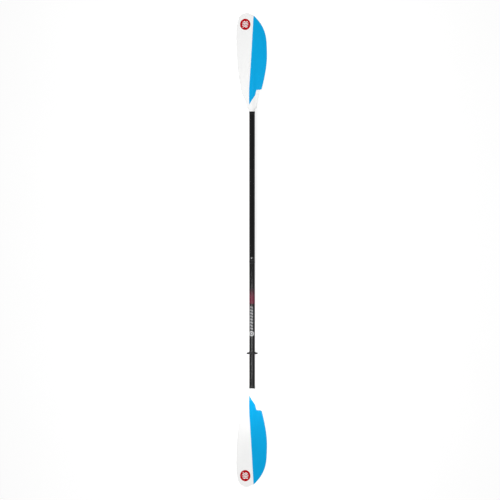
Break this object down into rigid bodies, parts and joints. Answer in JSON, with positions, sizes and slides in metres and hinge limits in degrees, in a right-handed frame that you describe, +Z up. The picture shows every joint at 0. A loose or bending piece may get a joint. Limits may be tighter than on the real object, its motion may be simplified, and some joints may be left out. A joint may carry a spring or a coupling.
{
  "type": "kayak paddle",
  "caption": "Double-bladed kayak paddle that takes apart in the middle, with asymmetric dihedral blades, a snap-button joint with three feather angles and a drip ring.",
  "frame": {"origin": "on the shaft's axis, halfway between the two blade tips", "axes": "+X along the shaft towards the upper (socket) blade, +Z up out of both power faces, -Y to the blue side of the blades"},
  "size_m": [2.4002, 0.1599, 0.056],
  "materials": {
    "tube_black": "black anodised, satin",
    "blade_white": "moulded, fine texture",
    "panel_blue": "smooth inlay",
    "roundel_red": "smooth inlay",
    "ring_black": "moulded",
    "rivet_metal": "plain",
    "foam": "closed-cell foam",
    "ferrule_black": "wound fibreglass",
    "cap_black": "moulded",
    "spring_steel": "rolled strip",
    "band_maroon": "printed film",
    "mark_grey": "printed film",
    "collar_grey": "moulded",
    "button_steel": "turned",
    "drip_rubber": "moulded"
  },
  "bodies": {
    "lower_half": {"lower_blade": "blade_white", "lower_blade_panel": "panel_blue", "lower_blade_roundel": "roundel_red", "lower_end_ring": "ring_black", "lower_blade_rivet": "rivet_metal", "lower_foam_plug": "foam", "lower_shaft": "tube_black", "ferrule": "ferrule_black", "ferrule_cap": "cap_black", "button_spring": "spring_steel", "shaft_band": "band_maroon", "shaft_bars": "mark_grey", "shaft_emblem": "mark_grey"},
    "collar": {"joint_collar": "collar_grey"},
    "upper_half": {"upper_blade": "blade_white", "upper_blade_panel": "panel_blue", "upper_blade_roundel": "roundel_red", "upper_end_ring": "ring_black", "upper_blade_rivet": "rivet_metal", "upper_foam_plug": "foam", "upper_shaft": "tube_black"},
    "button": {"snap_button": "button_steel"},
    "ring": {"drip_ring": "drip_rubber"}
  },
  "joints": [
    {"name": "feather_turn", "type": "hinge", "parent": "lower_half", "child": "collar", "pos_m": [0, 0, 0], "axis": [1, 0, 0], "range_deg": [-60, 60], "deforming": ["snap_button"]},
    {"name": "halves_pull_apart", "type": "slide", "parent": "collar", "child": "upper_half", "axis": [1, 0, 0], "range_m": [0, 0.13], "deforming": ["snap_button"]},
    {"name": "button_press", "type": "slide", "parent": "lower_half", "child": "button", "axis": [0, 0, -1], "range_m": [0, 0.0035], "stiffness_N_per_m": 2000, "springref_m": -0.003, "deforming": ["button_spring"]},
    {"name": "ring_slide", "type": "slide", "parent": "lower_half", "child": "ring", "axis": [1, 0, 0], "range_m": [-0.13, 0.07]}
  ]
}
